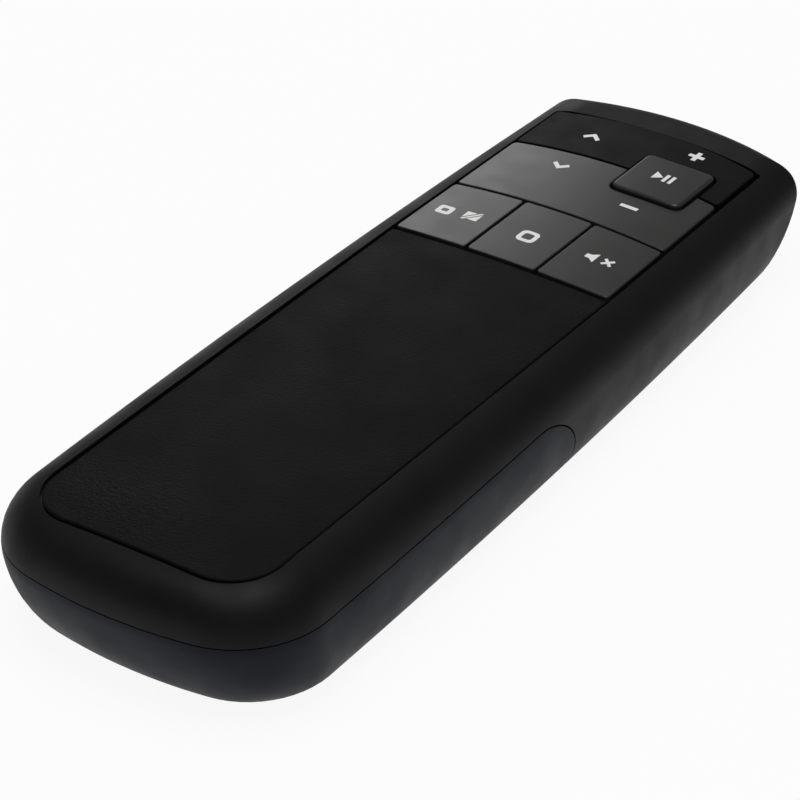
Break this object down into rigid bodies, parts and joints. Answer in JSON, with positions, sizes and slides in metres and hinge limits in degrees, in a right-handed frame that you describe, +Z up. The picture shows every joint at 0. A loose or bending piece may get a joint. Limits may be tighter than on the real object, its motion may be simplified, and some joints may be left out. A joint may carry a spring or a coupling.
{
  "type": "wireless presentation clicker",
  "caption": "Slim handheld wireless presenter with a rubber grip pad, a screened keypad with rocker keys, a slide-off battery cover and a stored USB receiver.",
  "frame": {"origin": "centre of the outline's bounding box, on the flat underside", "axes": "+X across the case to the right of the keys, +Y from the battery end to the key end, +Z up out of the key face"},
  "size_m": [0.045, 0.1284, 0.0185],
  "materials": {
    "casing_black": "satin black moulded plastic",
    "casing_slate": "satin blue-black moulded plastic",
    "grip_rubber": "fine-grained soft-touch black",
    "key_grey": "satin grey with printed symbols",
    "key_dark": "satin near-black with printed symbols",
    "frame_plastic": "matte dark grey",
    "board_green": "solder mask green",
    "switch_black": "matte black",
    "plunger_red": "matte red",
    "chip_black": "matte epoxy",
    "capacitor_tan": "ceramic tan",
    "contact_steel": "nickel plated",
    "screw_steel": "zinc plated",
    "cell_sleeve": "shrunk film sleeve",
    "plug_steel": "stamped steel shell",
    "tongue_white": "matte white",
    "receiver_black": "satin black"
  },
  "bodies": {
    "casing": {"top_casing": "casing_black", "bottom_casing": "casing_slate", "grip_pad": "grip_rubber", "key_frame": "frame_plastic", "rocker_pins": "screw_steel", "main_board": "board_green", "switch_bodies": "switch_black", "radio_chip": "chip_black", "crystal": "contact_steel", "power_coil": "chip_black", "small_capacitors": "capacitor_tan", "battery_left": "cell_sleeve", "battery_right": "cell_sleeve", "bridge_contact": "contact_steel", "plus_contact": "contact_steel", "minus_contact": "contact_steel", "tail_spring": "contact_steel", "front_spring": "contact_steel", "receiver_plug": "plug_steel", "receiver_tongue": "tongue_white", "receiver_cap": "receiver_black", "case_screws": "screw_steel", "board_screws": "screw_steel"},
    "battery_cover": {"battery_cover": "casing_slate"},
    "start_key": {"start_key": "key_grey", "start_plunger": "plunger_red"},
    "screen_key": {"screen_key": "key_grey", "screen_plunger": "plunger_red"},
    "mute_key": {"mute_key": "key_grey", "mute_plunger": "plunger_red"},
    "play_key": {"play_key": "key_grey", "play_plunger": "plunger_red"},
    "lower_rocker": {"lower_rocker": "key_grey"},
    "upper_rocker": {"upper_rocker": "key_dark"},
    "page_up_plunger": {"page_up_plunger": "plunger_red"},
    "volume_up_plunger": {"volume_up_plunger": "plunger_red"},
    "page_down_plunger": {"page_down_plunger": "plunger_red"},
    "volume_down_plunger": {"volume_down_plunger": "plunger_red"}
  },
  "joints": [
    {"name": "cover_slide", "type": "slide", "parent": "casing", "child": "battery_cover", "axis": [0, -1, 0], "range_m": [0, 0.07]},
    {"name": "start_press", "type": "slide", "parent": "casing", "child": "start_key", "axis": [0, 0, -1], "range_m": [0, 0.0004], "stiffness_N_per_m": 600, "springref_m": -0.0003},
    {"name": "screen_press", "type": "slide", "parent": "casing", "child": "screen_key", "axis": [0, 0, -1], "range_m": [0, 0.0004], "stiffness_N_per_m": 600, "springref_m": -0.0003},
    {"name": "mute_press", "type": "slide", "parent": "casing", "child": "mute_key", "axis": [0, 0, -1], "range_m": [0, 0.0004], "stiffness_N_per_m": 600, "springref_m": -0.0003},
    {"name": "play_press", "type": "slide", "parent": "casing", "child": "play_key", "axis": [0, 0, -1], "range_m": [0, 0.0004], "stiffness_N_per_m": 600, "springref_m": -0.0003},
    {"name": "lower_tilt", "type": "hinge", "parent": "casing", "child": "lower_rocker", "pos_m": [0, 0.0362, 0.0114], "axis": [0, 1, 0], "range_deg": [-1.2, 1.2], "stiffness_Nm_per_rad": 0.05},
    {"name": "upper_tilt", "type": "hinge", "parent": "casing", "child": "upper_rocker", "pos_m": [0, 0.0546, 0.0114], "axis": [0, 1, 0], "range_deg": [-1.2, 1.2], "stiffness_Nm_per_rad": 0.05},
    {"name": "page_up_press", "type": "slide", "parent": "casing", "child": "page_up_plunger", "axis": [0, 0, 1], "range_m": [-0.0002, 0.0002]},
    {"name": "volume_up_press", "type": "slide", "parent": "casing", "child": "volume_up_plunger", "axis": [0, 0, 1], "range_m": [-0.0002, 0.0002]},
    {"name": "page_down_press", "type": "slide", "parent": "casing", "child": "page_down_plunger", "axis": [0, 0, 1], "range_m": [-0.0002, 0.0002]},
    {"name": "volume_down_press", "type": "slide", "parent": "casing", "child": "volume_down_plunger", "axis": [0, 0, 1], "range_m": [-0.0002, 0.0002]}
  ],
  "couplings": [
    {"joint": "page_up_press", "follows": "upper_tilt", "m_per_rad": 0.009},
    {"joint": "volume_up_press", "follows": "upper_tilt", "m_per_rad": -0.009},
    {"joint": "page_down_press", "follows": "lower_tilt", "m_per_rad": 0.009},
    {"joint": "volume_down_press", "follows": "lower_tilt", "m_per_rad": -0.009}
  ]
}
